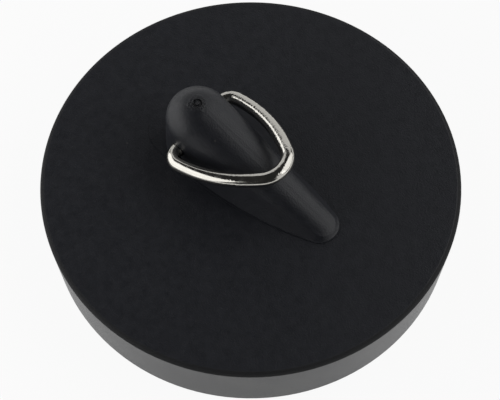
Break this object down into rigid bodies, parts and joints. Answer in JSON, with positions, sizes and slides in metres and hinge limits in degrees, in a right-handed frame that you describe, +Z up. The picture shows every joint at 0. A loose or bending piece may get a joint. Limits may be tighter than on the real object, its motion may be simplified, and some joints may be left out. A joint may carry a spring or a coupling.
{
  "type": "drain stopper",
  "caption": "Round tapered rubber drain stopper with a wedge-shaped lug and a swinging triangular wire ring for lifting it or hanging it on a chain.",
  "frame": {"origin": "centre of the flat underside", "axes": "+Z up along the disc's axis, +X along the lug from its round head to its tail, +Y along the hole for the ring"},
  "size_m": [0.045, 0.045, 0.0167],
  "materials": {
    "black_rubber": "matte moulded rubber",
    "plated_wire": "bright nickel-plated steel wire"
  },
  "bodies": {
    "plug": {"rubber_plug": "black_rubber"},
    "ring": {"triangle_ring": "plated_wire"}
  },
  "joints": [
    {"name": "ring_swing", "type": "hinge", "parent": "plug", "child": "ring", "pos_m": [-0.007, 0, 0.0117], "axis": [0, -1, 0], "range_deg": [-10, 176]}
  ]
}
